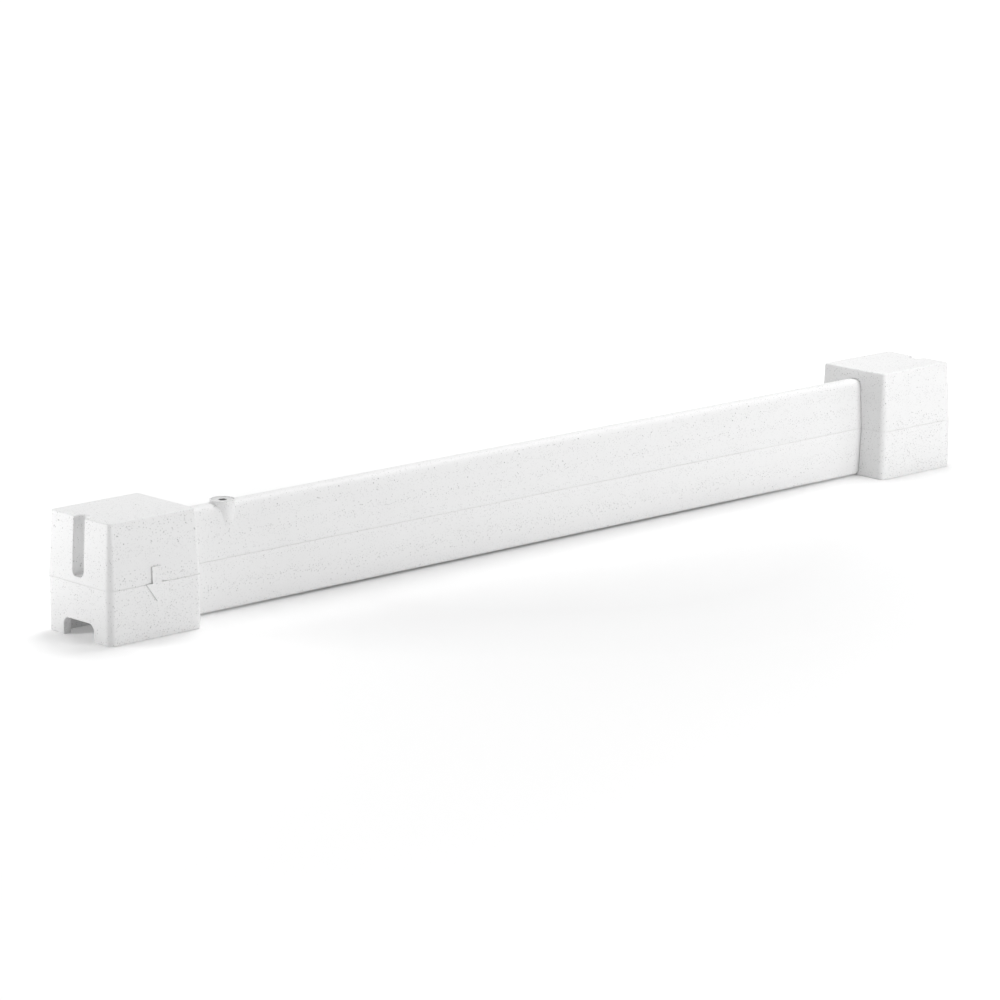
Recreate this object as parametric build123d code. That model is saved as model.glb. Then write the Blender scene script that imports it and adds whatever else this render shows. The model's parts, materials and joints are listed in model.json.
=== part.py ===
"""Water filled barrier: a slim hollow beam between two hollow end blocks.

The body is two moulded shells joined on one level seam.  A filler set sits on top of the beam and a
drain set under the drained block.  Millimetres, +Z up, X along the barrier, origin on the ground
under the middle of the beam.
"""
from build123d import *
import os
from math import atan2, degrees, hypot

# Overall sizes
LENGTH = 2000.0
BLOCK_LENGTH = 190.0
BLOCK_WIDTH = 165.0
HEIGHT = 200.0
SEAM_HEIGHT = 92.0
WALL = 5.0

# End blocks: how far each side leans in from the seam, and the rounding of the edges
BLOCK_TOP_INSET = 6.0
BLOCK_FOOT_INSET = 0.5
BLOCK_CORNER_RADIUS = 12.0
BLOCK_TOP_RADIUS = 3.0
BLOCK_FOOT_RADIUS = 3.0

# Beam: its height range, its widths at three levels and the rounding of its long edges
BEAM_TOP = 180.5
BEAM_BOTTOM = 2.0
BEAM_TOP_WIDTH = 35.0
BEAM_SEAM_WIDTH = 52.0
BEAM_BOTTOM_WIDTH = 39.0
BEAM_TOP_RADIUS = 14.0
BEAM_BOTTOM_RADIUS = 8.0

# Valley round the beam's root, cut into each block's inner face
ROOT_GROOVE_WIDTH = 1.5
ROOT_GROOVE_DEPTH = 2.0

# Groove left all round where the two shells are joined: its depth, and half its width
SEAM_GROOVE = 1.0

# Post slot in each outer end face, open at the top
SLOT_WIDTH = 28.0
SLOT_DEPTH = 18.0
SLOT_FLOOR = 102.0
SLOT_FLOOR_RADIUS = 8.0
SLOT_MOUTH_RADIUS = 2.5

# Hand hold: a notch through the outer foot wall into a recess under the block
GRIP_WIDTH = 78.0
GRIP_HEIGHT = 30.0
GRIP_CORNER_RADIUS = 12.0
GRIP_EDGE_RADIUS = 2.0
FOOT_END_WALL = 14.0
RECESS_WIDTH = 120.0
RECESS_LENGTH = 140.0
RECESS_CORNER_RADIUS = 8.0

# Raised arrow on the drained block, with its head's shoulders on the seam
ARROW_RELIEF = 3.0
ARROW_SHAFT_WIDTH = 18.0
ARROW_SHAFT_LENGTH = 27.0
ARROW_HEAD_WIDTH = 43.0
ARROW_HEAD_LENGTH = 30.0

# Filler boss on the beam: a flange over a tapering cone that runs out on the beam's front
FILLER_X = -704.0
FILLER_Y = -5.0
FILLER_TOP = 185.5
FLANGE_DIAMETER = 44.0
FLANGE_THICKNESS = 2.0
FLANGE_OVERHANG = 0.6
CONE_FOOT = 122.0
CONE_FOOT_DIAMETER = 30.0

# Drain in the roof of the recess
DRAIN_X = -930.0

# Screw plug sets, alike at the filler and the drain
THREAD_DIAMETER = 20.0
THREAD_CLEARANCE = 0.1
THREAD_LENGTH = 12.0
HEAD_DIAMETER = 38.0
HEAD_THICKNESS = 5.0
HEAD_SINK = 1.0
HEAD_CLEARANCE = 0.5
HEAD_EDGE_RADIUS = 1.0
SOCKET_ACROSS_FLATS = 14.0
SOCKET_DEPTH = 8.0
SEAL_THICKNESS = 2.0
SEAL_CLEARANCE = 0.5
INSERT_DIAMETER = 30.0
INSERT_LENGTH = 14.0
INSERT_GROOVE_WIDTH = 4.0
INSERT_GROOVE_DEPTH = 1.5

# Worked out from the sizes above
BLOCK_X = (LENGTH - BLOCK_LENGTH) / 2
OUTER_END = -BLOCK_LENGTH / 2
UPPER_RISE = HEIGHT - SEAM_HEIGHT
POCKET_DEPTH = HEAD_SINK + HEAD_THICKNESS + SEAL_THICKNESS
CORE_DEPTH = POCKET_DEPTH + INSERT_LENGTH + WALL
POCKET_RADIUS = HEAD_DIAMETER / 2 + HEAD_CLEARANCE
BEYOND = 10.0
NEAR = 0.2


def block_half(shrink, rise, side_inset, side_rise):
    """Half a block above the seam, in its own frame, leaning in by side_inset over side_rise."""
    plan = RectangleRounded(
        BLOCK_LENGTH - 2 * shrink, BLOCK_WIDTH - 2 * shrink, BLOCK_CORNER_RADIUS - shrink
    )
    lean = degrees(atan2(side_inset, side_rise))
    return Pos(0, 0, SEAM_HEIGHT) * extrude(plan, rise, taper=lean)


def seam_mirror(shape):
    """The same shape turned over, about the seam."""
    return mirror(shape, about=Plane.XY.offset(SEAM_HEIGHT))


def block_outside():
    """One end block as a full solid with its slot and hand hold cut, in its own frame."""
    upper = block_half(0, UPPER_RISE, BLOCK_TOP_INSET, UPPER_RISE) - slot_cut()
    upper = fillet(upper.faces().sort_by(Axis.Z)[-1].edges(), BLOCK_TOP_RADIUS)
    lower = seam_mirror(block_half(0, SEAM_HEIGHT, BLOCK_FOOT_INSET, SEAM_HEIGHT))
    lower = fillet(lower.faces().sort_by(Axis.Z)[0].edges(), BLOCK_FOOT_RADIUS)
    block = upper + lower - hand_hold_cut()
    return fillet(grip_edge(block), GRIP_EDGE_RADIUS)


def grip_edge(block):
    """The edges where a block's hand hold notch meets its outer end face."""
    side = GRIP_WIDTH / 2
    face_end = OUTER_END + BLOCK_FOOT_INSET + BLOCK_FOOT_RADIUS
    outer = block.edges().filter_by_position(Axis.X, OUTER_END - NEAR, face_end + NEAR)
    beside = outer.filter_by_position(Axis.Y, -side - NEAR, side + NEAR)
    return beside.filter_by_position(Axis.Z, NEAR, GRIP_HEIGHT + NEAR)


def block_inside():
    """The space inside one end block, before the slot and the recess take their share."""
    upper = block_half(WALL, UPPER_RISE - WALL, BLOCK_TOP_INSET, UPPER_RISE)
    lower = block_half(WALL, SEAM_HEIGHT - WALL, BLOCK_FOOT_INSET, SEAM_HEIGHT)
    return upper + seam_mirror(lower)


def beam_section(shrink):
    """The beam's section across its length, in the YZ plane."""
    top = BEAM_TOP_WIDTH / 2 - shrink
    seam = BEAM_SEAM_WIDTH / 2 - shrink
    bottom = BEAM_BOTTOM_WIDTH / 2 - shrink
    outline = [
        (top, BEAM_TOP - shrink),
        (seam, SEAM_HEIGHT),
        (bottom, BEAM_BOTTOM + shrink),
        (-bottom, BEAM_BOTTOM + shrink),
        (-seam, SEAM_HEIGHT),
        (-top, BEAM_TOP - shrink),
    ]
    section = make_face(Polyline(*outline, close=True))
    section = fillet(section.vertices().sort_by(Axis.Y)[-2:], BEAM_TOP_RADIUS - shrink)
    section = fillet(section.vertices().sort_by(Axis.Y)[:2], BEAM_BOTTOM_RADIUS - shrink)
    return Plane.YZ * section


def beam(shrink):
    """The beam, running to the middle of each block so that it joins both."""
    return extrude(beam_section(shrink), BLOCK_X, both=True)


def slot_plan(grow):
    """The post slot seen from above: straight sides and a half round end."""
    radius = SLOT_WIDTH / 2 + grow
    straight = SLOT_DEPTH + grow - radius
    outside = BEYOND + radius
    sides = Rectangle(outside + straight, 2 * radius, align=(Align.MIN, Align.CENTER))
    return Pos(OUTER_END - outside, 0) * sides + Pos(OUTER_END + straight, 0) * Circle(radius)


def along_end_face(plan, floor):
    """A plan carried up from floor past the top, parallel to the leaning end face."""
    direction = Vector(BLOCK_TOP_INSET, 0, UPPER_RISE).normalized()
    start = BLOCK_TOP_INSET * (floor - SEAM_HEIGHT) / UPPER_RISE
    height = HEIGHT + BEYOND - floor
    amount = height * hypot(BLOCK_TOP_INSET, UPPER_RISE) / UPPER_RISE
    return extrude(Pos(start, 0, floor) * plan, amount, dir=direction)


def slot_cut():
    """What the post slot takes out of a block, with a rounded floor and mouth."""
    cut = along_end_face(slot_plan(0), SLOT_FLOOR)
    floor_edges = cut.faces().sort_by(Axis.Z)[0].edges().sort_by(Axis.X)[1:]
    cut = fillet(floor_edges, SLOT_FLOOR_RADIUS)
    half = SLOT_WIDTH / 2 + SLOT_MOUTH_RADIUS
    mouth = Rectangle(BEYOND + SLOT_MOUTH_RADIUS, 2 * half, align=(Align.MIN, Align.CENTER))
    mouth = Pos(OUTER_END - BEYOND, 0) * mouth
    for side in (-half, half):
        mouth -= Pos(OUTER_END + SLOT_MOUTH_RADIUS, side) * Circle(SLOT_MOUTH_RADIUS)
    return cut + along_end_face(mouth, SLOT_FLOOR + SLOT_FLOOR_RADIUS)


def slot_lining():
    """The material kept round the post slot inside a block."""
    return along_end_face(slot_plan(WALL), SLOT_FLOOR - WALL)


def recess_box(side, end, roof):
    """A box under a block from its outer end wall to end, side out each way, up to roof."""
    start = OUTER_END + FOOT_END_WALL
    plan = RectangleRounded(end - start, 2 * side, RECESS_CORNER_RADIUS)
    return Pos((start + end) / 2, 0, -BEYOND) * extrude(plan, roof + BEYOND)


def hand_hold_cut():
    """The notch through the outer foot wall and the recess behind it."""
    recess_end = OUTER_END + FOOT_END_WALL + RECESS_LENGTH
    recess = recess_box(RECESS_WIDTH / 2, recess_end, GRIP_HEIGHT)
    arch = Rectangle(GRIP_WIDTH, GRIP_HEIGHT + BEYOND, align=(Align.CENTER, Align.MIN))
    arch = fillet(arch.vertices().sort_by(Axis.Y)[-2:], GRIP_CORNER_RADIUS)
    reach = BEYOND + FOOT_END_WALL + RECESS_CORNER_RADIUS
    notch = extrude(Plane.YZ * Pos(0, -BEYOND) * arch, reach)
    return recess + Pos(OUTER_END - BEYOND, 0, 0) * notch


def hand_hold_lining():
    """The material kept round the notch and the recess inside a block."""
    reach = FOOT_END_WALL + RECESS_LENGTH + WALL
    size = (reach, RECESS_WIDTH + 2 * WALL, GRIP_HEIGHT + WALL)
    return Pos(OUTER_END, 0, 0) * Box(*size, align=(Align.MIN, Align.CENTER, Align.MIN))


def both_ends(shape):
    """A shape from a block's own frame, at the left block and mirrored at the right one."""
    left = Pos(-BLOCK_X, 0, 0) * shape
    return left + mirror(left, about=Plane.YZ)


def seam_groove():
    """The shallow groove all round the body where the two shells are joined."""
    blocks = RectangleRounded(BLOCK_LENGTH, BLOCK_WIDTH, BLOCK_CORNER_RADIUS)
    outline = Rectangle(2 * BLOCK_X, BEAM_SEAM_WIDTH)
    for x in (-BLOCK_X, BLOCK_X):
        outline += Pos(x, 0) * blocks
    ring = offset(outline, BEYOND) - offset(outline, -SEAM_GROOVE)
    return Pos(0, 0, SEAM_HEIGHT) * extrude(ring, SEAM_GROOVE, both=True)


def root_grooves():
    """The valleys round the beam where it meets the blocks, down to the beam's underside."""
    ring = beam(-ROOT_GROOVE_WIDTH) - beam(0)
    under = Box(LENGTH, BLOCK_WIDTH, BEAM_BOTTOM, align=(Align.CENTER, Align.CENTER, Align.MIN))
    upper = block_half(ROOT_GROOVE_DEPTH, UPPER_RISE, BLOCK_TOP_INSET, UPPER_RISE)
    lower = seam_mirror(block_half(ROOT_GROOVE_DEPTH, SEAM_HEIGHT, BLOCK_FOOT_INSET, SEAM_HEIGHT))
    return ring - under - both_ends(upper + lower)


def arrow():
    """The raised arrow on the drained block's front, pointing at its drain."""
    shaft = ARROW_SHAFT_WIDTH / 2
    head = ARROW_HEAD_WIDTH / 2
    outline = [
        (-shaft, ARROW_SHAFT_LENGTH),
        (shaft, ARROW_SHAFT_LENGTH),
        (shaft, 0),
        (head, 0),
        (0, -ARROW_HEAD_LENGTH),
        (-head, 0),
        (-shaft, 0),
    ]
    front = -BLOCK_WIDTH / 2 + WALL
    face = Plane.XZ * Pos(0, SEAM_HEIGHT) * make_face(Polyline(*outline, close=True))
    prism = Pos(0, front, 0) * extrude(face, WALL + BEYOND)
    upper = block_half(-ARROW_RELIEF, UPPER_RISE, BLOCK_TOP_INSET, UPPER_RISE)
    lower = seam_mirror(block_half(-ARROW_RELIEF, SEAM_HEIGHT, BLOCK_FOOT_INSET, SEAM_HEIGHT))
    return Pos(-BLOCK_X, 0, 0) * (prism & (upper + lower))


def filler_place():
    """Where the filler's mouth is: the set is built below this point."""
    return Pos(FILLER_X, FILLER_Y, FILLER_TOP)


def drain_place():
    """Where the drain's mouth is, upside down in the roof of the recess."""
    return Pos(DRAIN_X, 0, GRIP_HEIGHT) * Rot(180, 0, 0)


def filler_cone(shrink, top, bottom):
    """The filler's tapering body between two heights, shrunk by a wall if it is the inside."""
    under_flange = FILLER_TOP - FLANGE_THICKNESS
    wide = FLANGE_DIAMETER / 2 - FLANGE_OVERHANG
    slope = (wide - CONE_FOOT_DIAMETER / 2) / (under_flange - CONE_FOOT)
    bottom_radius = wide - slope * (under_flange - bottom) - shrink
    top_radius = wide - slope * (under_flange - top) - shrink
    cone = Cone(bottom_radius, top_radius, top - bottom, align=(Align.CENTER, Align.CENTER, Align.MIN))
    return Pos(FILLER_X, FILLER_Y, bottom) * cone


def down_cylinder(radius, depth, top=0.0):
    """A cylinder hanging from a height in a plug set's own frame."""
    return Pos(0, 0, top) * Cylinder(radius, depth, align=(Align.CENTER, Align.CENTER, Align.MAX))


def insert_outside():
    """The outside of the threaded insert, with a groove that the plastic locks into."""
    radius = INSERT_DIAMETER / 2
    middle = -POCKET_DEPTH - INSERT_LENGTH / 2
    ring = down_cylinder(radius, INSERT_GROOVE_WIDTH, middle + INSERT_GROOVE_WIDTH / 2)
    ring -= down_cylinder(radius - INSERT_GROOVE_DEPTH, INSERT_GROOVE_WIDTH, middle + INSERT_GROOVE_WIDTH / 2)
    return down_cylinder(radius, INSERT_LENGTH, -POCKET_DEPTH) - ring


def plug_set_cut():
    """What a plug set takes out of its boss: head pocket, insert and water way."""
    pocket = down_cylinder(POCKET_RADIUS, POCKET_DEPTH)
    water_way = down_cylinder(THREAD_DIAMETER / 2, CORE_DEPTH + BEYOND)
    return pocket + insert_outside() + water_way


def threaded_insert():
    """The bush that the plug screws into, its thread as a plain bore."""
    return insert_outside() - down_cylinder(THREAD_DIAMETER / 2, CORE_DEPTH)


def seal():
    """The flat ring pressed between the plug's head and the insert."""
    top = -HEAD_SINK - HEAD_THICKNESS
    ring = down_cylinder(INSERT_DIAMETER / 2, SEAL_THICKNESS, top)
    return ring - down_cylinder(THREAD_DIAMETER / 2 + SEAL_CLEARANCE, SEAL_THICKNESS, top)


def plug():
    """The screw plug: a round head with a hexagon socket over a threaded shank."""
    head = down_cylinder(HEAD_DIAMETER / 2, HEAD_THICKNESS, -HEAD_SINK)
    head = fillet(head.edges().sort_by(Axis.Z)[-1], HEAD_EDGE_RADIUS)
    shank_length = SEAL_THICKNESS + THREAD_LENGTH
    shank = down_cylinder(
        THREAD_DIAMETER / 2 - THREAD_CLEARANCE, shank_length, -HEAD_SINK - HEAD_THICKNESS
    )
    shank = chamfer(shank.edges().sort_by(Axis.Z)[0], HEAD_EDGE_RADIUS)
    socket = RegularPolygon(SOCKET_ACROSS_FLATS / 2, 6, major_radius=False)
    socket = Pos(0, 0, -HEAD_SINK) * extrude(socket, -SOCKET_DEPTH)
    return head + shank - socket


def body_outside():
    """The whole body as a full solid: blocks, beam, seam groove, arrow and filler boss."""
    outside = both_ends(block_outside()) + beam(0) - seam_groove() - root_grooves()
    flange = filler_place() * down_cylinder(FLANGE_DIAMETER / 2, FLANGE_THICKNESS)
    cone = filler_cone(0, FILLER_TOP - FLANGE_THICKNESS, CONE_FOOT)
    return outside + arrow() + flange + cone


def body_inside():
    """The water space, left clear of the slots, the hand holds and the two bosses."""
    inside = both_ends(block_inside()) + beam(WALL)
    inside += filler_cone(WALL, FILLER_TOP - CORE_DEPTH, CONE_FOOT + WALL)
    inside -= both_ends(slot_lining() + hand_hold_lining())
    filler_core = down_cylinder(POCKET_RADIUS + WALL / 2, CORE_DEPTH)
    drain_core = down_cylinder(POCKET_RADIUS + WALL, CORE_DEPTH)
    return inside - filler_place() * filler_core - drain_place() * drain_core


def body():
    """Both shells in one piece, with every opening cut."""
    hollow = body_outside() - body_inside() - both_ends(hand_hold_cut())
    return hollow - filler_place() * plug_set_cut() - drain_place() * plug_set_cut()


def main():
    """Build every piece and write one file for each."""
    whole = body()
    seam = Plane.XY.offset(SEAM_HEIGHT)
    pieces = {
        "upper_shell": split(whole, bisect_by=seam, keep=Keep.TOP),
        "lower_shell": split(whole, bisect_by=seam, keep=Keep.BOTTOM),
    }
    for name, place in (("filler", filler_place()), ("drain", drain_place())):
        pieces[f"{name}_insert"] = place * threaded_insert()
        pieces[f"{name}_seal"] = place * seal()
        pieces[f"{name}_plug"] = place * plug()
    os.makedirs("parts", exist_ok=True)
    for name, shape in pieces.items():
        export_step(shape, f"parts/{name}.step")


main()
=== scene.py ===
"""Looks of the water filled barrier.

The two moulded shells keep their shape from the frame and get a speckled plastic.  The filler set
and the drain set are modelled here: a threaded insert, a seal and a screw plug each.  Everything is
in metres and in the frame's own axes.
"""

import json
import logging
import math
from dataclasses import dataclass
from enum import Enum
from functools import partial
from typing import Any, Callable, Dict, List, Optional, Tuple, Union

import bpy
from mathutils import Matrix, Vector

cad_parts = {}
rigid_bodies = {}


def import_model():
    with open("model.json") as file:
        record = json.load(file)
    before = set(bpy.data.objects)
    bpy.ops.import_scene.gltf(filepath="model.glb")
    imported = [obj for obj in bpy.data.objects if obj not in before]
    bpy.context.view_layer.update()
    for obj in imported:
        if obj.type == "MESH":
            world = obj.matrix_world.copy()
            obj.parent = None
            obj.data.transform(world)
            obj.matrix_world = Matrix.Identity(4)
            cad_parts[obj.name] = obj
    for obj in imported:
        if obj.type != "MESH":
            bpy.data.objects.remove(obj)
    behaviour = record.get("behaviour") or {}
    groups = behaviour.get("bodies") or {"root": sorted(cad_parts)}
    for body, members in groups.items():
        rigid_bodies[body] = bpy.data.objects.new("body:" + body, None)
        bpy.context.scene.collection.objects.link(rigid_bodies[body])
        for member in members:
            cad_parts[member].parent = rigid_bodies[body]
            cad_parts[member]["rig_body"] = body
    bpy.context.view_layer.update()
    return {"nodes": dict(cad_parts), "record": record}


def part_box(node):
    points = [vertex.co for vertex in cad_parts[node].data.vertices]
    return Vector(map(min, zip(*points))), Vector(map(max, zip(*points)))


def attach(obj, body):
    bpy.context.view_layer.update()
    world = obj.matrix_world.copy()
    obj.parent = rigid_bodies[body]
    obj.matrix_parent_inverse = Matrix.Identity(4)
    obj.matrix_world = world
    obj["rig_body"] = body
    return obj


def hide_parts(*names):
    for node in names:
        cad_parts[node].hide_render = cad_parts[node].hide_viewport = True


for leftover in list(bpy.data.objects):
    bpy.data.objects.remove(leftover)
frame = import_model()

log = logging.getLogger("barrier")

MM = 0.001
TURN = 2 * math.pi

# Tolerances of the modelling: for picking by place, for merging doubles, and for a level normal
SLACK = 0.1 * MM
DOUBLES = 0.002 * MM
LEVEL = 0.1

Colour = Tuple[float, float, float, float]
Place = Tuple[float, float, float]


def grey(level: float) -> Colour:
    """A neutral grey of the given linear level."""
    return (level, level, level, 1.0)


# ---------------------------------------------------------------------------------------------
# Shader maths
# ---------------------------------------------------------------------------------------------


class Signal:
    """One value in a finish's node tree, so that shader maths reads as plain expressions."""

    def __init__(self, tree: "FinishTree", socket: bpy.types.NodeSocket) -> None:
        """Wrap a socket.

        Args:
            tree: The finish that the socket belongs to.
            socket: The output socket that carries the value.
        """
        self.tree = tree
        self.socket = socket

    def _math(self, operation: str, first: "Operand", second: "Operand", clamp: bool = False) -> "Signal":
        """Add one Math node.

        Args:
            operation: The Math node's operation.
            first: The first operand.
            second: The second operand.
            clamp: Whether the result is kept between 0 and 1.

        Returns:
            The node's result.
        """
        settings = {"operation": operation, "use_clamp": clamp}
        return self.tree.node("ShaderNodeMath", settings, {0: first, 1: second})

    def __add__(self, other: "Operand") -> "Signal":
        """The sum of two values."""
        return self._math("ADD", self, other)

    def __sub__(self, other: "Operand") -> "Signal":
        """This value less another."""
        return self._math("SUBTRACT", self, other)

    def __rsub__(self, other: float) -> "Signal":
        """A number less this value."""
        return self._math("SUBTRACT", other, self)

    def __mul__(self, other: "Operand") -> "Signal":
        """The product of two values."""
        return self._math("MULTIPLY", self, other)

    def __truediv__(self, other: "Operand") -> "Signal":
        """This value over another."""
        return self._math("DIVIDE", self, other)

    def __pow__(self, other: "Operand") -> "Signal":
        """This value to a power."""
        return self._math("POWER", self, other)

    def __gt__(self, other: "Operand") -> "Signal":
        """1 where this value is above another, and 0 elsewhere."""
        return self._math("GREATER_THAN", self, other)

    __radd__ = __add__
    __rmul__ = __mul__

    def other(self, output: str) -> "Signal":
        """Another output of the same node."""
        return Signal(self.tree, self.socket.node.outputs[output])

    def sine(self) -> "Signal":
        """The sine of this value, in radians."""
        return self._math("SINE", self, 0.0)

    def within_unit(self) -> "Signal":
        """This value kept between 0 and 1."""
        return self._math("ADD", self, 0.0, clamp=True)


Operand = Union[Signal, float]


class FinishTree:
    """The node tree of one material, with every node made by `node`."""

    def __init__(self, name: str) -> None:
        """Start an empty material.

        Args:
            name: The material's name.
        """
        self.material = bpy.data.materials.new(name)
        self.material.use_nodes = True
        self.material.node_tree.nodes.clear()
        self.place = self.node("ShaderNodeTexCoord", output="Object")

    def node(
        self,
        kind: str,
        settings: Optional[Dict[str, Any]] = None,
        values: Optional[Dict[Union[int, str], Any]] = None,
        output: Union[int, str] = 0,
    ) -> Optional[Signal]:
        """Add one node.

        Args:
            kind: The node's type.
            settings: Its own settings, set before its sockets.
            values: Values or links of its input sockets.
            output: The output that is wanted.

        Returns:
            The wanted output, or None from a node that has no outputs.
        """
        made = self.material.node_tree.nodes.new(kind)
        for key, value in (settings or {}).items():
            setattr(made, key, value)
        for key, value in (values or {}).items():
            if isinstance(value, Signal):
                self.material.node_tree.links.new(value.socket, made.inputs[key])
            else:
                made.inputs[key].default_value = value
        return Signal(self, made.outputs[output]) if made.outputs else None

    def noise(self, size: float, detail: float = 2.0, place: Optional[Signal] = None) -> Signal:
        """Soft random variation from 0 to 1.

        Args:
            size: The width of its patches, in metres.
            detail: How many finer octaves it has.
            place: Where it is read, or the object's own coordinates.

        Returns:
            The variation.
        """
        values = {"Vector": place or self.place, "Scale": 1 / size, "Detail": detail}
        return self.node("ShaderNodeTexNoise", values=values, output="Fac")

    def mix(self, share: Operand, first: Union[Signal, Colour], second: Union[Signal, Colour]) -> Signal:
        """Mix two colours.

        Args:
            share: How much of the second there is.
            first: The colour at 0.
            second: The colour at 1.

        Returns:
            The mixed colour.
        """
        settings = {"data_type": "RGBA", "clamp_factor": True}
        return self.node("ShaderNodeMix", settings, {0: share, 6: first, 7: second}, output=2)

    def bump(self, height: Signal, rise: float, under: Optional[Signal] = None) -> Signal:
        """A Bump node for a small relief.

        Args:
            height: The relief, from 0 to 1.
            rise: How high 1 stands, in metres.
            under: A coarser bump that this one lies on.

        Returns:
            The bent normal.
        """
        values: Dict[Union[int, str], Any] = {"Height": height, "Distance": rise}
        if under is not None:
            values["Normal"] = under
        return self.node("ShaderNodeBump", values=values)

    def finished(self, **sockets: Any) -> bpy.types.Material:
        """Close the tree with a Principled shader.

        Args:
            sockets: Its values or links, with _ for each space of a socket's name.

        Returns:
            The material.
        """
        values = {key.replace("_", " "): value for key, value in sockets.items()}
        shader = self.node("ShaderNodeBsdfPrincipled", values=values)
        self.node("ShaderNodeOutputMaterial", values={"Surface": shader})
        return self.material


# ---------------------------------------------------------------------------------------------
# Finishes
# ---------------------------------------------------------------------------------------------


@dataclass(frozen=True)
class Specks:
    """One size of speck mixed into the plastic.

    Attributes:
        spacing: The width of the cells that each may hold one speck.
        radius: The largest speck's radius.
        share: The share of the cells that hold one.
        strength: How far the speck covers the plastic, from 0 to 1.
        shift: An offset that keeps the layers apart.
        smallest: The smallest speck's radius, as a share of the largest's.
        softness: The width of a speck's soft rim, as a share of the largest's radius.
    """

    spacing: float
    radius: float
    share: float
    strength: float
    shift: float
    smallest: float = 0.4
    softness: float = 0.25

    def mask(self, tree: FinishTree, place: Signal) -> Signal:
        """How much of a speck there is at each point.

        Args:
            tree: The finish's tree.
            place: The coordinates, already roughened.

        Returns:
            The cover, from 0 to the layer's strength.
        """
        settings = {"operation": "ADD"}
        moved = tree.node("ShaderNodeVectorMath", settings, {0: place, 1: (self.shift,) * 3})
        cells = {"Vector": moved, "Scale": 1 / self.spacing}
        distance = tree.node("ShaderNodeTexVoronoi", values=cells, output="Distance")
        pick = tree.node("ShaderNodeSeparateColor", values={0: distance.other("Color")}, output="Red")
        size = pick.other("Green")
        reach = (size * (1 - self.smallest) + self.smallest) * (self.radius / self.spacing)
        rim = self.softness * self.radius / self.spacing
        dot = ((reach - distance) / rim).within_unit()
        return dot * (pick > 1 - self.share) * self.strength


@dataclass(frozen=True)
class SpeckledPlastic:
    """Moulded light grey plastic with dark specks, a fine skin and a slightly wavy surface.

    Attributes:
        name: The material's name.
        base: The plastic's own level.
        speck: The specks' middle level.
        speck_range: The darkest and the lightest speck, as shares of that level.
        mottle: How much darker the plastic is in patches.
        roughness: The middle roughness.
        spread: How far the roughness varies over the grain.
        gloss: The strength of its reflections.
        patch: The width of the patches.
        edge: How far the specks' outlines wander.
        edge_size: The width of that wandering.
        grain: The width of the skin's grain.
        grain_rise: The grain's height.
        wave: The length of the surface's waves.
        wave_rise: The waves' height.
        layers: The specks, from the smallest up.
    """

    name: str = "speckled_plastic"
    base: float = 0.83
    speck: float = 0.20
    speck_range: Tuple[float, float] = (0.6, 1.8)
    mottle: float = 0.03
    roughness: float = 0.6
    spread: float = 0.12
    gloss: float = 0.35
    patch: float = 45 * MM
    edge: float = 0.9 * MM
    edge_size: float = 1.6 * MM
    grain: float = 0.9 * MM
    grain_rise: float = 0.03 * MM
    wave: float = 60 * MM
    wave_rise: float = 0.5 * MM
    layers: Tuple[Specks, ...] = (
        Specks(2.7 * MM, 0.72 * MM, 0.9, 0.6, 0.0),
        Specks(4.6 * MM, 1.05 * MM, 0.8, 0.65, 1.7),
        Specks(12.0 * MM, 1.35 * MM, 0.6, 0.9, 3.1),
    )

    def make(self) -> bpy.types.Material:
        """Build the material.

        Returns:
            The speckled plastic.
        """
        tree = FinishTree(self.name)
        cloud = tree.noise(self.patch, 3.0)
        plain = tree.mix(cloud, grey(self.base * (1 - self.mottle)), grey(self.base))
        wobble = tree.noise(self.edge_size).other("Color")
        scaled = tree.node("ShaderNodeVectorMath", {"operation": "SCALE"}, {0: wobble, "Scale": self.edge})
        rough_place = tree.node("ShaderNodeVectorMath", {"operation": "ADD"}, {0: tree.place, 1: scaled})
        cover: Operand = 0.0
        for layer in self.layers:
            cover = layer.mask(tree, rough_place) + cover
        cover = cover.within_unit()
        tone = tree.noise(6 * MM, 1.0)
        darkest, lightest = self.speck_range
        dark = tree.mix(tone, grey(self.speck * darkest), grey(self.speck * lightest))
        colour = tree.mix(cover, plain, dark)
        grain = tree.noise(self.grain, 2.0)
        wave = tree.noise(self.wave, 1.0)
        rough = (grain - 0.5) * self.spread + self.roughness
        relief = tree.bump(grain, self.grain_rise, under=tree.bump(wave, self.wave_rise))
        return tree.finished(
            Base_Color=colour, Roughness=rough, Specular_IOR_Level=self.gloss, Normal=relief
        )


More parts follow.
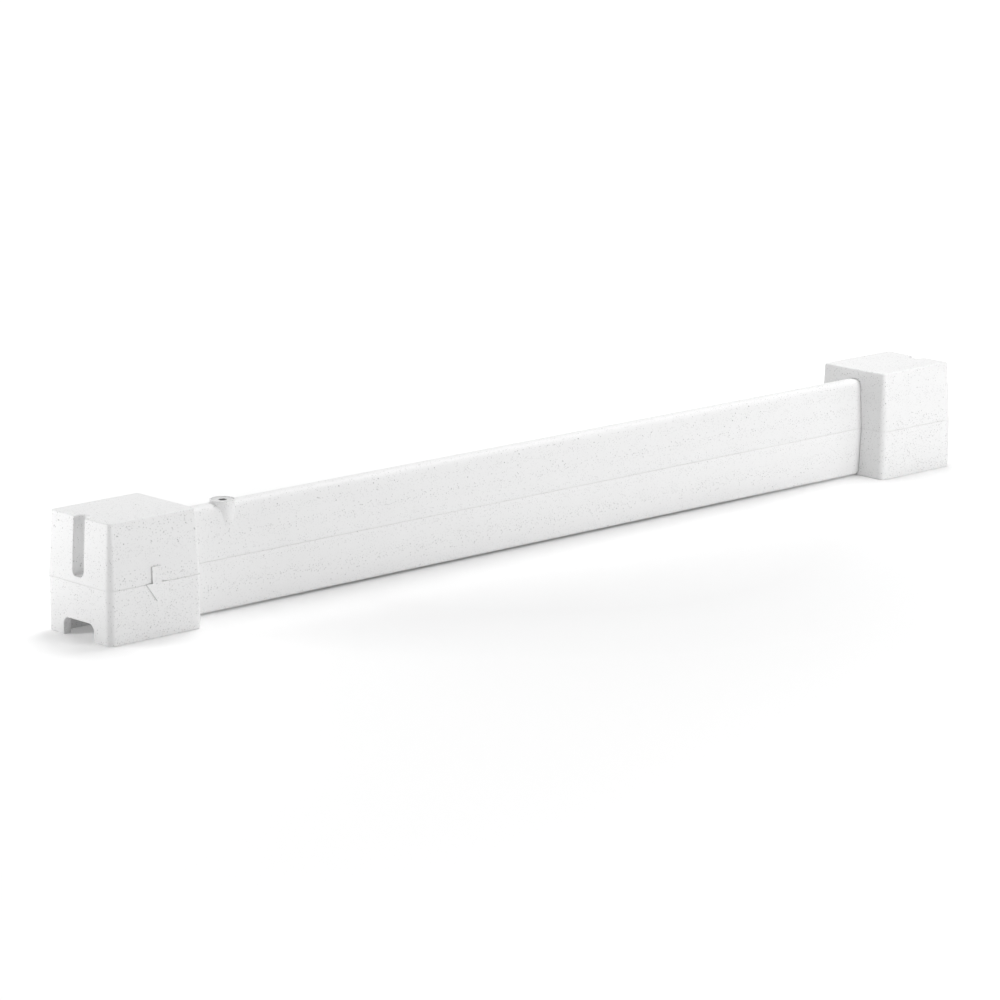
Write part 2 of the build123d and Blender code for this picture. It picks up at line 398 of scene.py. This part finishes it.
@dataclass(frozen=True)
class PlugPlastic:
    """The plugs' smooth plastic: the shells' grey without specks, with painted shade inside the socket.

    Attributes:
        name: The material's name.
        base: The plastic's own level, outside the painted shade.
        painted_socket_shade: The level of the painted shade deep inside the socket.
        roughness: The plastic's roughness outside the handling marks.
        depth: The mesh attribute that holds how far down the socket a point is, from 0 to 1.
        onset: The depth, as a share of the socket's, where the painted shade is full.
        patch: The width of the handling marks.
        mottle: How much darker the plastic is in them.
        spread: How much rougher it is in them.
        grain: The width of the skin's grain.
        grain_rise: The grain's height.
    """

    name: str = "plug_plastic"
    base: float = 0.76
    painted_socket_shade: float = 0.36
    roughness: float = 0.42
    depth: str = "socket_depth"
    onset: float = 0.16
    patch: float = 9 * MM
    mottle: float = 0.07
    spread: float = 0.14
    grain: float = 0.5 * MM
    grain_rise: float = 0.015 * MM

    def make(self) -> bpy.types.Material:
        """Build the material.

        Returns:
            The plug plastic.
        """
        tree = FinishTree(self.name)
        cloud = tree.noise(self.patch, 4.0)
        unshaded_plastic = tree.mix(cloud, grey(self.base * (1 - self.mottle)), grey(self.base))
        # Painted shade: the plastic darkens with depth down the hexagon socket, in place of the shade inside
        # the hole.
        depth = tree.node("ShaderNodeAttribute", {"attribute_name": self.depth}, output="Fac")
        cover = (depth / self.onset).within_unit()
        colour = tree.mix(cover, unshaded_plastic, grey(self.painted_socket_shade))
        rough = self.roughness + self.spread * cloud
        relief = tree.bump(tree.noise(self.grain), self.grain_rise)
        return tree.finished(Base_Color=colour, Roughness=rough, Normal=relief)


@dataclass(frozen=True)
class TurnedBrass:
    """Brass with fine turning lines and slight tarnish.

    Attributes:
        name: The material's name.
        bright: The clean brass.
        tarnished: The brass where it is tarnished.
        patch: The width of the tarnished patches.
        clean_share: The noise level under which the brass is clean.
        roughness: The clean brass's roughness.
        dullness: How much rougher the tarnish is.
        line_pitch: The distance between turning lines.
        line_rise: The lines' height.
        line_roughness: How much rougher their ridges are.
    """

    name: str = "turned_brass"
    bright: Colour = (0.72, 0.55, 0.28, 1.0)
    tarnished: Colour = (0.42, 0.29, 0.13, 1.0)
    patch: float = 5 * MM
    clean_share: float = 0.45
    roughness: float = 0.24
    dullness: float = 0.22
    line_pitch: float = 0.35 * MM
    line_rise: float = 0.02 * MM
    line_roughness: float = 0.06

    def make(self) -> bpy.types.Material:
        """Build the material.

        Returns:
            The brass.
        """
        tree = FinishTree(self.name)
        height = tree.node("ShaderNodeSeparateXYZ", values={0: tree.place}, output="Z")
        lines = (height * (TURN / self.line_pitch)).sine() * 0.5 + 0.5
        patches = tree.noise(self.patch, 5.0)
        tarnish = ((patches - self.clean_share) * 4.0).within_unit()
        colour = tree.mix(tarnish, self.bright, self.tarnished)
        rough = self.roughness + self.dullness * tarnish + self.line_roughness * lines
        relief = tree.bump(lines, self.line_rise)
        return tree.finished(Base_Color=colour, Metallic=1.0, Roughness=rough, Normal=relief)


@dataclass(frozen=True)
class SealRubber:
    """Black rubber with a dull bloom.

    Attributes:
        name: The material's name.
        base: The clean rubber's level.
        bloom: The level where it has bloomed.
        patch: The width of the bloom's patches.
        roughness: The clean rubber's roughness.
        dullness: How much rougher the bloom is.
        grain: The width of the skin's grain.
        grain_rise: The grain's height.
    """

    name: str = "seal_rubber"
    base: float = 0.022
    bloom: float = 0.075
    patch: float = 3 * MM
    roughness: float = 0.62
    dullness: float = 0.2
    grain: float = 0.35 * MM
    grain_rise: float = 0.02 * MM

    def make(self) -> bpy.types.Material:
        """Build the material.

        Returns:
            The rubber.
        """
        tree = FinishTree(self.name)
        cloud = tree.noise(self.patch, 4.0)
        colour = tree.mix(cloud ** 2.0, grey(self.base), grey(self.bloom))
        rough = self.roughness + self.dullness * cloud
        relief = tree.bump(tree.noise(self.grain), self.grain_rise)
        return tree.finished(Base_Color=colour, Roughness=rough, Normal=relief)


@dataclass(frozen=True)
class PaleFloor:
    """A plain pale floor that glows more the further it is from the lamps, so that it stays light.

    Attributes:
        name: The material's name.
        base: The floor's own level.
        near: The distance from the middle where the glow starts.
        far: The distance where it is full.
        glow: The full glow.
    """

    name: str = "pale_floor"
    base: float = 0.9
    near: float = 0.5
    far: float = 3.8
    glow: float = 1.0

    def make(self) -> bpy.types.Material:
        """Build the material.

        Returns:
            The floor's finish.
        """
        tree = FinishTree(self.name)
        settings = {"operation": "LENGTH"}
        distance = tree.node("ShaderNodeVectorMath", settings, {0: tree.place}, output="Value")
        share = ((distance - self.near) / (self.far - self.near)).within_unit()
        glow = tree.mix(share, grey(0.0), grey(self.glow))
        return tree.finished(
            Base_Color=grey(self.base), Roughness=0.85, Emission_Color=glow, Emission_Strength=1.0
        )


# ---------------------------------------------------------------------------------------------
# Working on meshes
# ---------------------------------------------------------------------------------------------


class Bench:
    """Modelling steps that are done with operators on one piece at a time."""

    @staticmethod
    def clear() -> None:
        """Leave nothing selected."""
        if bpy.context.object is not None and bpy.context.object.mode != "OBJECT":
            bpy.ops.object.mode_set(mode="OBJECT")
        bpy.ops.object.select_all(action="DESELECT")

    @staticmethod
    def take(piece: bpy.types.Object) -> None:
        """Make a piece the only selected and active one.

        Args:
            piece: The piece to work on.
        """
        Bench.clear()
        piece.select_set(True)
        bpy.context.view_layer.objects.active = piece

    @staticmethod
    def new(name: str, primitive: Callable[..., Any], **sizes: Any) -> bpy.types.Object:
        """Add a primitive as the start of a piece.

        Args:
            name: The piece's name.
            primitive: The operator that adds it.
            sizes: The operator's own settings.

        Returns:
            The new piece, with its place in its mesh.
        """
        Bench.clear()
        primitive(**sizes)
        piece = bpy.context.object
        piece.name = name
        bpy.ops.object.transform_apply(location=True, rotation=True, scale=True)
        return piece

    @staticmethod
    def pick(piece: bpy.types.Object, kind: str, test: Callable[[Any], bool]) -> None:
        """Open a piece in edit mode with only the wanted vertices, edges or faces selected.

        Args:
            piece: The piece.
            kind: VERT, EDGE or FACE.
            test: What is asked of each vertex's place, each edge's two ends, or each face.
        """
        Bench.take(piece)
        bpy.ops.object.mode_set(mode="EDIT")
        bpy.ops.mesh.select_mode(type=kind)
        bpy.ops.mesh.select_all(action="DESELECT")
        bpy.ops.object.mode_set(mode="OBJECT")
        mesh = piece.data
        if kind == "VERT":
            for vertex in mesh.vertices:
                vertex.select = test(vertex.co)
        elif kind == "EDGE":
            for edge in mesh.edges:
                first, second = (mesh.vertices[index].co for index in edge.vertices)
                edge.select = test((first, second))
        else:
            for face in mesh.polygons:
                face.select = test(face)
        bpy.ops.object.mode_set(mode="EDIT")

    @staticmethod
    def pick_all(piece: bpy.types.Object) -> None:
        """Open a piece in edit mode with all of it selected."""
        Bench.pick(piece, "VERT", lambda spot: True)

    @staticmethod
    def close(piece: bpy.types.Object) -> None:
        """Merge a piece's doubles and turn its faces outwards, then leave edit mode.

        Args:
            piece: The piece, in either mode.
        """
        Bench.take(piece)
        bpy.ops.object.mode_set(mode="EDIT")
        bpy.ops.mesh.select_all(action="SELECT")
        bpy.ops.mesh.remove_doubles(threshold=DOUBLES)
        bpy.ops.mesh.normals_make_consistent(inside=False)
        bpy.ops.object.mode_set(mode="OBJECT")

    @staticmethod
    def modify(piece: bpy.types.Object, kind: str, **settings: Any) -> None:
        """Add a modifier and apply it.

        Args:
            piece: The piece.
            kind: The modifier's type.
            settings: The modifier's own settings.
        """
        Bench.take(piece)
        modifier = piece.modifiers.new(kind.lower(), kind)
        for key, value in settings.items():
            setattr(modifier, key, value)
        bpy.ops.object.modifier_apply(modifier=modifier.name)

    @staticmethod
    def combine(piece: bpy.types.Object, other: bpy.types.Object, operation: str) -> None:
        """Combine a piece with a tool solid, which is used up.

        Args:
            piece: The piece that is kept.
            other: The tool solid.
            operation: UNION, DIFFERENCE or INTERSECT.
        """
        Bench.modify(piece, "BOOLEAN", object=other, operation=operation, solver="EXACT")
        bpy.data.objects.remove(other)

    @staticmethod
    def smooth(piece: bpy.types.Object, angle: float = 35.0) -> None:
        """Shade a piece smooth, with edges sharper than an angle kept crisp.

        Args:
            piece: The piece.
            angle: The angle, in degrees.
        """
        Bench.take(piece)
        bpy.ops.object.shade_smooth_by_angle(angle=math.radians(angle))


# ---------------------------------------------------------------------------------------------
# The plug sets
# ---------------------------------------------------------------------------------------------


class Site(Enum):
    """Where a plug set sits, which is also the start of its nodes' names."""

    FILLER = "filler"
    DRAIN = "drain"

    @property
    def upside_down(self) -> bool:
        """Whether the set's head points down."""
        return self is Site.DRAIN

    def mouth(self) -> Matrix:
        """The place and the direction of the plug head's outer face.

        Returns:
            A turn and a move from a set's own frame to its place.
        """
        low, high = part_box(f"{self.value}_plug")
        middle = (low + high) / 2
        if self.upside_down:
            return Matrix.Translation((middle.x, middle.y, low.z)) @ Matrix.Rotation(math.pi, 4, "X")
        return Matrix.Translation((middle.x, middle.y, high.z))


@dataclass(frozen=True)
class Thread:
    """A coarse rounded thread.

    Attributes:
        root: The radius of the bottom of its grooves.
        crest: The radius of its ridges.
        pitch: The rise of one turn.
        steps: The steps of one turn.
    """

    root: float
    crest: float
    pitch: float
    steps: int = 48

    def rod(self, name: str, top: float, bottom: float) -> bpy.types.Object:
        """A solid threaded rod.

        Args:
            name: The rod's name.
            top: The height of its top.
            bottom: The height of its bottom.

        Returns:
            The closed rod.
        """
        turns = math.ceil((top - bottom) / self.pitch) + 2
        start = bottom - self.pitch
        flank = self.pitch / 4
        rod = Bench.new(name, bpy.ops.mesh.primitive_plane_add, size=self.pitch)
        Bench.pick(rod, "VERT", lambda spot: spot.x > 0)
        bpy.ops.mesh.delete(type="VERT")
        bpy.ops.object.mode_set(mode="OBJECT")
        for vertex in rod.data.vertices:
            vertex.co = (self.root, 0.0, start + (vertex.co.y > 0) * self.pitch)
        Bench.pick_all(rod)
        bpy.ops.mesh.subdivide(number_cuts=3)
        bpy.ops.object.mode_set(mode="OBJECT")
        ridge = start + 2.5 * flank
        Bench.pick(rod, "VERT", lambda spot: abs(spot.z - ridge) < flank)
        bpy.ops.transform.translate(value=(self.crest - self.root, 0, 0))
        bpy.ops.object.mode_set(mode="OBJECT")
        steps = {"steps": self.steps, "render_steps": self.steps}
        settings = {**steps, "iterations": turns, "screw_offset": self.pitch}
        Bench.modify(rod, "SCREW", axis="Z", angle=TURN, use_merge_vertices=True, **settings)
        for height, clear_outer in ((bottom, False), (top, True)):
            Bench.pick_all(rod)
            bpy.ops.mesh.bisect(
                plane_co=(0, 0, height),
                plane_no=(0, 0, 1),
                use_fill=True,
                clear_inner=not clear_outer,
                clear_outer=clear_outer,
            )
            bpy.ops.object.mode_set(mode="OBJECT")
        Bench.close(rod)
        return rod


@dataclass
class RingSection:
    """The section of a ring, as the start of a lathe turned piece.

    Attributes:
        inner: The ring's inner radius.
        outer: Its outer radius.
        top: The height of its top.
        depth: How far down it goes.
        rounding: How far its edges are rounded.
        segments: The steps of that rounding.
    """

    inner: float
    outer: float
    top: float
    depth: float
    rounding: float
    segments: int = 3

    def spun(self, name: str, steps: int) -> bpy.types.Object:
        """The ring made from the section.

        Args:
            name: The ring's name.
            steps: The steps of the spin.

        Returns:
            The closed ring.
        """
        middle = ((self.inner + self.outer) / 2, 0, self.top - self.depth / 2)
        add = bpy.ops.mesh.primitive_plane_add
        ring = Bench.new(name, add, size=1, location=middle, rotation=(math.pi / 2, 0, 0))
        Bench.pick_all(ring)
        reach = (self.outer - self.inner, 1, self.depth)
        bpy.ops.transform.resize(value=reach, center_override=middle)
        bpy.ops.mesh.bevel(offset=self.rounding, segments=self.segments, affect="VERTICES")
        bpy.ops.mesh.select_all(action="SELECT")
        bpy.ops.mesh.delete(type="ONLY_FACE")
        bpy.ops.mesh.select_all(action="SELECT")
        bpy.ops.mesh.spin(steps=steps, angle=TURN, center=(0, 0, 0), axis=(0, 0, 1), use_auto_merge=True)
        Bench.close(ring)
        return ring


@dataclass
class PlugSet:
    """A threaded insert, a seal and a screw plug, modelled head up with the head's face at 0.

    Attributes:
        head_radius: The radius of the plug's head.
        pitch: The rise of one turn of the thread.
        head_thickness: The head's thickness.
        head_rounding: The rounding of the head's upper edge.
        shank_radius: The shank's radius over its thread.
        shank_length: How far the shank reaches below the head.
        thread_depth: The depth of the thread's grooves.
        thread_stock: How far a thread is made past its radius, to be cut back to it.
        tip_chamfer: The chamfer at the shank's end.
        head_sides: The sides of the head's and the seal's rounds.
        shank_sides: The sides of the shank's rounds.
        rounding_steps: The steps of the head's rounding.
        neck: The plain stretch of the shank under the head.
        socket_across_flats: The hexagon socket's size.
        socket_depth: Its depth.
        socket_chamfer: The chamfer at its mouth.
        seal_inner: The seal's inner radius.
        seal_outer: Its outer radius.
        seal_thickness: Its thickness.
        seal_rounding: The rounding of its edges.
        insert_bore: The radius of the insert's bore inside its thread.
        insert_outer: The insert's outer radius.
        insert_length: Its length.
        insert_chamfer: The chamfer of its edges.
        insert_groove_width: The width of its locking groove.
        insert_groove_depth: That groove's depth.
        knurl_teeth: The teeth of its knurl.
        knurl_depth: The knurl's depth.
    """

    head_radius: float
    pitch: float
    head_thickness: float = 5.0 * MM
    head_rounding: float = 1.2 * MM
    shank_radius: float = 9.9 * MM
    shank_length: float = 14.0 * MM
    thread_depth: float = 1.1 * MM
    thread_stock: float = 0.2 * MM
    tip_chamfer: float = 1.0 * MM
    head_sides: int = 128
    shank_sides: int = 96
    rounding_steps: int = 5
    neck: float = 3.5 * MM
    socket_across_flats: float = 14.0 * MM
    socket_depth: float = 8.0 * MM
    socket_chamfer: float = 0.3 * MM
    seal_inner: float = 10.5 * MM
    seal_outer: float = 15.0 * MM
    seal_thickness: float = 2.0 * MM
    seal_rounding: float = 0.4 * MM
    insert_bore: float = 10.0 * MM
    insert_outer: float = 15.0 * MM
    insert_length: float = 14.0 * MM
    insert_chamfer: float = 0.5 * MM
    insert_groove_width: float = 4.0 * MM
    insert_groove_depth: float = 1.5 * MM
    knurl_teeth: int = 60
    knurl_depth: float = 0.35 * MM

    @property
    def head_foot(self) -> float:
        """The height of the head's underside."""
        return -self.head_thickness

    @property
    def tip(self) -> float:
        """The height of the shank's end."""
        return self.head_foot - self.shank_length

    @property
    def insert_top(self) -> float:
        """The height of the insert's upper face."""
        return self.head_foot - self.seal_thickness

    def plug(self) -> bpy.types.Object:
        """Model the screw plug.

        Returns:
            The plug, closed.
        """
        add = partial(bpy.ops.mesh.primitive_cylinder_add, vertices=self.head_sides)
        middle = (0, 0, -self.head_thickness / 2)
        head = Bench.new("plug", add, radius=self.head_radius, depth=self.head_thickness, location=middle)
        Bench.pick(head, "EDGE", lambda ends: min(ends[0].z, ends[1].z) > -SLACK)
        bpy.ops.mesh.bevel(offset=self.head_rounding, segments=self.rounding_steps)
        bpy.ops.object.mode_set(mode="OBJECT")
        Bench.combine(head, self.shank(), "UNION")
        Bench.combine(head, self.socket(), "DIFFERENCE")
        Bench.close(head)
        Bench.smooth(head)
        self.mark_socket(head)
        return head

    def mark_socket(self, plug: bpy.types.Object) -> None:
        """Write on each vertex how far down the socket it is, from 0 to 1, for the painted shade of the
        socket.

        Args:
            plug: The plug, with its socket cut.
        """
        reach = self.shank_radius - self.thread_depth - SLACK
        marks = plug.data.attributes.new(PlugPlastic.depth, "FLOAT", "POINT")
        for vertex, mark in zip(plug.data.vertices, marks.data):
            inside = vertex.co.xy.length < reach and -vertex.co.z < self.socket_depth + SLACK
            mark.value = -vertex.co.z / self.socket_depth if inside else 0.0

    def shank(self) -> bpy.types.Object:
        """Model the plug's threaded shank, with a plain neck and a chamfered tip.

        Returns:
            The shank, closed, reaching a little into the head.
        """
        overlap = 1.0 * MM
        add = partial(bpy.ops.mesh.primitive_cylinder_add, vertices=self.shank_sides)
        length = self.shank_length + overlap
        middle = (0, 0, self.tip + length / 2)
        shank = Bench.new("shank", add, radius=self.shank_radius, depth=length, location=middle)
        Bench.pick(shank, "EDGE", lambda ends: max(ends[0].z, ends[1].z) < self.tip + SLACK)
        bpy.ops.mesh.bevel(offset=self.tip_chamfer, segments=1)
        bpy.ops.object.mode_set(mode="OBJECT")
        outside = self.shank_radius + self.thread_stock
        thread = Thread(self.shank_radius - self.thread_depth, outside, self.pitch)
        neck_foot = self.head_foot - self.neck
        rod = thread.rod("rod", neck_foot + overlap / 2, self.tip - overlap)
        neck_length = self.neck + 3 * overlap
        middle = (0, 0, neck_foot + neck_length / 2)
        neck = Bench.new("neck", add, radius=outside, depth=neck_length, location=middle)
        Bench.combine(neck, rod, "UNION")
        Bench.combine(shank, neck, "INTERSECT")
        return shank

    def socket(self) -> bpy.types.Object:
        """Model what the hexagon socket takes out of the plug, its mouth flared by a chamfer.

        Returns:
            The tool solid, closed.
        """
        radius = self.socket_across_flats / 2 / math.cos(math.pi / 6)
        above = 1.0 * MM
        depth = self.socket_depth + above
        place = (0, 0, above - depth / 2)
        cylinder = bpy.ops.mesh.primitive_cylinder_add
        socket = Bench.new("socket", cylinder, vertices=6, radius=radius, depth=depth, location=place)
        Bench.pick_all(socket)
        bpy.ops.mesh.bisect(plane_co=(0, 0, -self.socket_chamfer), plane_no=(0, 0, 1))
        bpy.ops.object.mode_set(mode="OBJECT")
        flare = 1 + (self.socket_chamfer + above) / radius
        Bench.pick(socket, "VERT", lambda spot: spot.z > 0)
        bpy.ops.transform.resize(value=(flare, flare, 1), center_override=(0, 0, above))
        bpy.ops.object.mode_set(mode="OBJECT")
        Bench.close(socket)
        return socket

    def seal(self) -> bpy.types.Object:
        """Model the seal.

        Returns:
            The seal, closed.
        """
        section = RingSection(
            self.seal_inner, self.seal_outer, self.head_foot, self.seal_thickness, self.seal_rounding
        )
        seal = section.spun("seal", steps=self.head_sides)
        Bench.smooth(seal)
        return seal

    def insert(self) -> bpy.types.Object:
        """Model the threaded insert: a knurled bush with a locking groove and an inner thread.

        Returns:
            The insert, closed.
        """
        section = RingSection(
            self.insert_bore, self.insert_outer, self.insert_top, self.insert_length, self.insert_chamfer, 1
        )
        insert = section.spun("insert", steps=2 * self.knurl_teeth)
        middle = self.insert_top - self.insert_length / 2
        half = self.insert_groove_width / 2
        for height in (middle - half, middle + half):
            Bench.pick_all(insert)
            bpy.ops.mesh.bisect(plane_co=(0, 0, height), plane_no=(0, 0, 1))
            bpy.ops.object.mode_set(mode="OBJECT")
        self.cut_groove(insert, middle)
        self.cut_knurl(insert)
        cutter = Thread(
            self.insert_bore - self.thread_stock, self.insert_bore + self.thread_depth, self.pitch
        )
        beyond = 1.0 * MM
        rod = cutter.rod("rod", self.insert_top + beyond, self.insert_top - self.insert_length - beyond)
        Bench.combine(insert, rod, "DIFFERENCE")
        Bench.close(insert)
        Bench.smooth(insert, 30.0)
        return insert

    def cut_groove(self, insert: bpy.types.Object, middle: float) -> None:
        """Sink the locking groove into the insert.

        Args:
            insert: The insert, with edge rings at the groove's two sides.
            middle: The groove's height.
        """
        outside = self.insert_outer - 2 * SLACK
        half = self.insert_groove_width / 2
        Bench.pick(
            insert,
            "FACE",
            lambda face: face.center.xy.length > outside and abs(face.center.z - middle) < half,
        )
        bpy.ops.mesh.extrude_region_move()
        share = 1 - self.insert_groove_depth / self.insert_outer
        bpy.ops.transform.resize(value=(share, share, 1), center_override=(0, 0, middle))
        bpy.ops.object.mode_set(mode="OBJECT")

    def cut_knurl(self, insert: bpy.types.Object) -> None:
        """Sink every other strip of the insert's outside, which leaves a straight knurl.

        Args:
            insert: The insert, whose outside has two strips for each tooth.
        """
        outside = self.insert_outer - SLACK
        strip = TURN / (2 * self.knurl_teeth)

        def sunk(face: bpy.types.MeshPolygon) -> bool:
            """Whether a face is on the outside, on a strip that is sunk."""
            angle = math.atan2(face.center.y, face.center.x) % TURN
            every_other = int(angle / strip) % 2 == 0
            return every_other and face.center.xy.length > outside and abs(face.normal.z) < LEVEL

        Bench.pick(insert, "FACE", sunk)
        bpy.ops.mesh.extrude_region_move()
        share = 1 - self.knurl_depth / self.insert_outer
        bpy.ops.transform.resize(value=(share, share, 1), center_override=(0, 0, 0))
        bpy.ops.object.mode_set(mode="OBJECT")

    def fitted(self, finishes: Dict[str, bpy.types.Material]) -> List[bpy.types.Object]:
        """Model each piece once and put a copy of it at each site.

        Args:
            finishes: The material of each of the record's slots.

        Returns:
            The placed pieces.
        """
        placed = []
        for kind, slot, model in (
            ("insert", "insert", self.insert()),
            ("seal", "seal", self.seal()),
            ("plug", "plug", self.plug()),
        ):
            for site in Site:
                placed.append(self.place(model, site, kind, finishes[slot], slot))
            bpy.data.objects.remove(model)
        return placed

    @staticmethod
    def place(
        model: bpy.types.Object, site: Site, kind: str, finish: bpy.types.Material, slot: str
    ) -> bpy.types.Object:
        """Put a copy of a piece at a site, in place of its node.

        Args:
            model: The piece, in the set's own frame.
            site: Where it goes.
            kind: insert, seal or plug.
            finish: Its material.
            slot: The record's slot for that material; not used.

        Returns:
            The placed piece.
        """
        node = f"{site.value}_{kind}"
        piece = bpy.data.objects.new(f"{node}_detailed", model.data.copy())
        bpy.context.scene.collection.objects.link(piece)
        piece.data.transform(site.mouth())
        piece.data.materials.clear()
        piece.data.materials.append(finish)
        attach(piece, frame["nodes"][node]["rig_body"])
        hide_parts(node)
        return piece


# ---------------------------------------------------------------------------------------------
# The shells
# ---------------------------------------------------------------------------------------------


@dataclass
class Tank:
    """The two moulded shells, whose shape is the frame's."""

    nodes: Tuple[str, ...] = ("upper_shell", "lower_shell")

    def dress(self, finish: bpy.types.Material) -> List[bpy.types.Object]:
        """Give the shells their plastic.

        Args:
            finish: The speckled plastic.

        Returns:
            The shells.
        """
        shells = [frame["nodes"][name] for name in self.nodes]
        for shell in shells:
            shell.material_slots[0].material = finish
        return shells


# ---------------------------------------------------------------------------------------------
# The studio
# ---------------------------------------------------------------------------------------------


@dataclass(frozen=True)
class SoftBox:
    """A square area lamp.

    Attributes:
        name: The lamp's name.
        place: Where it hangs.
        aim: The point that it faces.
        size: Its side.
        watts: Its power.
    """

    name: str
    place: Place
    aim: Place
    size: float
    watts: float

    def hang(self) -> None:
        """Add the lamp."""
        towards = Vector(self.aim) - Vector(self.place)
        turn = towards.to_track_quat("-Z", "Y").to_euler()
        Bench.clear()
        bpy.ops.object.light_add(type="AREA", location=self.place, rotation=turn)
        lamp = bpy.context.object
        lamp.name = self.name
        lamp.data.size = self.size
        lamp.data.energy = self.watts


@dataclass
class Studio:
    """A plain floor, soft light and the camera.

    Attributes:
        floor_radius: The floor's radius.
        sky: The strength of the even light all round.
        aim: The point that the camera faces.
        azimuth: The camera's direction, in degrees from +Y towards +X.
        looking_down: How far it looks down, in degrees.
        distance: Its distance from the aim.
        lens: Its focal length, in millimetres.
        boxes: The lamps.
    """

    floor_radius: float = 40.0
    sky: float = 0.07
    aim: Place = (-0.0816, 0.0, 0.0868)
    azimuth: float = 42.716
    looking_down: float = 12.779
    distance: float = 7.667
    lens: float = 159.1
    boxes: Tuple[SoftBox, ...] = (
        SoftBox("left_softbox", (-1.9, 0.6, 0.5), (-1.0, 0.05, 0.1), 0.6, 8.3),
        SoftBox("front_softbox", (1.0, -4.0, 0.9), (0.3, 0.0, 0.1), 1.7, 78.0),
        SoftBox("right_softbox", (3.2, -2.2, 0.8), (0.9, 0.0, 0.1), 1.2, 7.2),
        SoftBox("top_softbox", (1.0, 0.5, 3.0), (0.8, 0.0, 0.0), 2.4, 98.0),
        SoftBox("top_left_softbox", (-0.9, -0.2, 1.6), (-0.8, 0.0, 0.0), 1.0, 4.0),
        SoftBox("back_softbox", (0.0, 4.0, 1.2), (0.0, 0.0, 0.1), 2.0, 32.0),
    )

    def lay_floor(self, finish: bpy.types.Material) -> None:
        """Add the floor.

        Args:
            finish: The floor's material.
        """
        add = bpy.ops.mesh.primitive_circle_add
        floor = Bench.new("floor", add, vertices=96, radius=self.floor_radius, fill_type="NGON")
        floor.data.materials.append(finish)

    def light(self) -> None:
        """Hang the lamps and set the even light all round."""
        world = bpy.data.worlds.new("even_light")
        world.use_nodes = True
        world.node_tree.nodes["Background"].inputs["Color"].default_value = grey(1.0)
        world.node_tree.nodes["Background"].inputs["Strength"].default_value = self.sky
        bpy.context.scene.world = world
        for box in self.boxes:
            box.hang()
        bpy.context.scene.view_settings.view_transform = "Standard"

    def set_camera(self) -> None:
        """Add the camera, aimed from the front left and a little above."""
        turn, down = math.radians(self.azimuth), math.radians(self.looking_down)
        forward = Vector((math.sin(turn) * math.cos(down), math.cos(turn) * math.cos(down), -math.sin(down)))
        place = Vector(self.aim) - forward * self.distance
        Bench.clear()
        bpy.ops.object.camera_add(location=place, rotation=forward.to_track_quat("-Z", "Y").to_euler())
        camera = bpy.context.object
        camera.data.lens = self.lens
        camera.data.sensor_width = 36.0
        bpy.context.scene.camera = camera


def travel_per_turn() -> float:
    """The pitch of the plugs' threads, from the coupling of lift and turn in the frame."""
    couplings = frame["record"]["behaviour"]["couplings"]
    return abs(couplings[0]["ratio"]) * TURN


def main() -> None:
    """Dress the shells, model the plug sets, and set up the studio."""
    logging.basicConfig(level=logging.INFO, format="%(message)s")
    finishes = {
        "shell": SpeckledPlastic().make(),
        "plug": PlugPlastic().make(),
        "insert": TurnedBrass().make(),
        "seal": SealRubber().make(),
    }
    pieces = Tank().dress(finishes["shell"])
    low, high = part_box("filler_plug")
    plug_set = PlugSet(head_radius=(high.x - low.x) / 2, pitch=travel_per_turn())
    pieces += plug_set.fitted(finishes)
    studio = Studio()
    studio.lay_floor(PaleFloor().make())
    studio.light()
    studio.set_camera()
    for piece in pieces:
        log.info("%s: %d faces", piece.name, len(piece.data.polygons))


if __name__ == "__main__":
    main()
